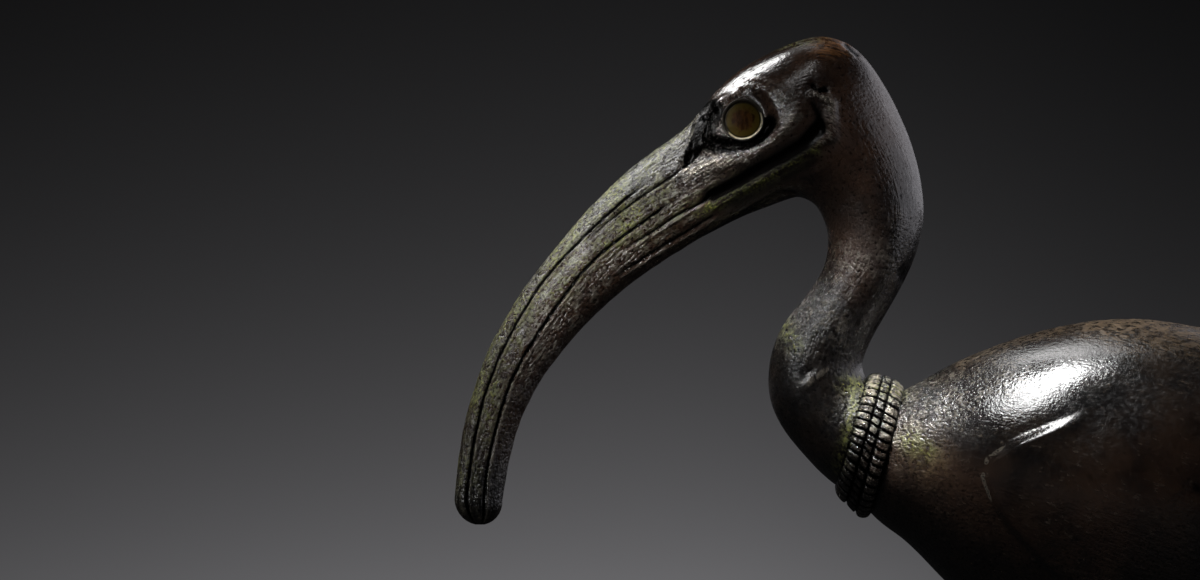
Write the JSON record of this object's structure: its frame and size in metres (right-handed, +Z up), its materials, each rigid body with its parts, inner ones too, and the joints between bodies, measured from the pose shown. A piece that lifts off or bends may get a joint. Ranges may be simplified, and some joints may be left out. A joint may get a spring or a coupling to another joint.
{
  "type": "ibis statuette",
  "caption": "Striding sacred ibis figure of Thoth in patinated bronze, with a long curved bill, inlaid eyes, beaded collar and folded wings, on a low base.",
  "frame": {"origin": "middle of the underside of the low base", "axes": "+Z up; the bird faces -X, its left side faces -Y, and its length from bill to tail runs along X"},
  "size_m": [0.243, 0.064, 0.212],
  "materials": {
    "bronze": "dark brown-black bronze patina, satin to glossy, with grey-green corrosion on the bill and red-brown undertones on the body",
    "base_bronze": "the same dark bronze patina, duller",
    "gold": "worn gold band, satin",
    "eye_inlay": "dull amber-brown glass, opaque with age"
  },
  "bodies": {
    "root": {"ibis": "bronze", "low_base": "base_bronze", "left_eye_ring": "gold", "right_eye_ring": "gold", "left_eye_inlay": "eye_inlay", "right_eye_inlay": "eye_inlay"}
  },
  "joints": []
}
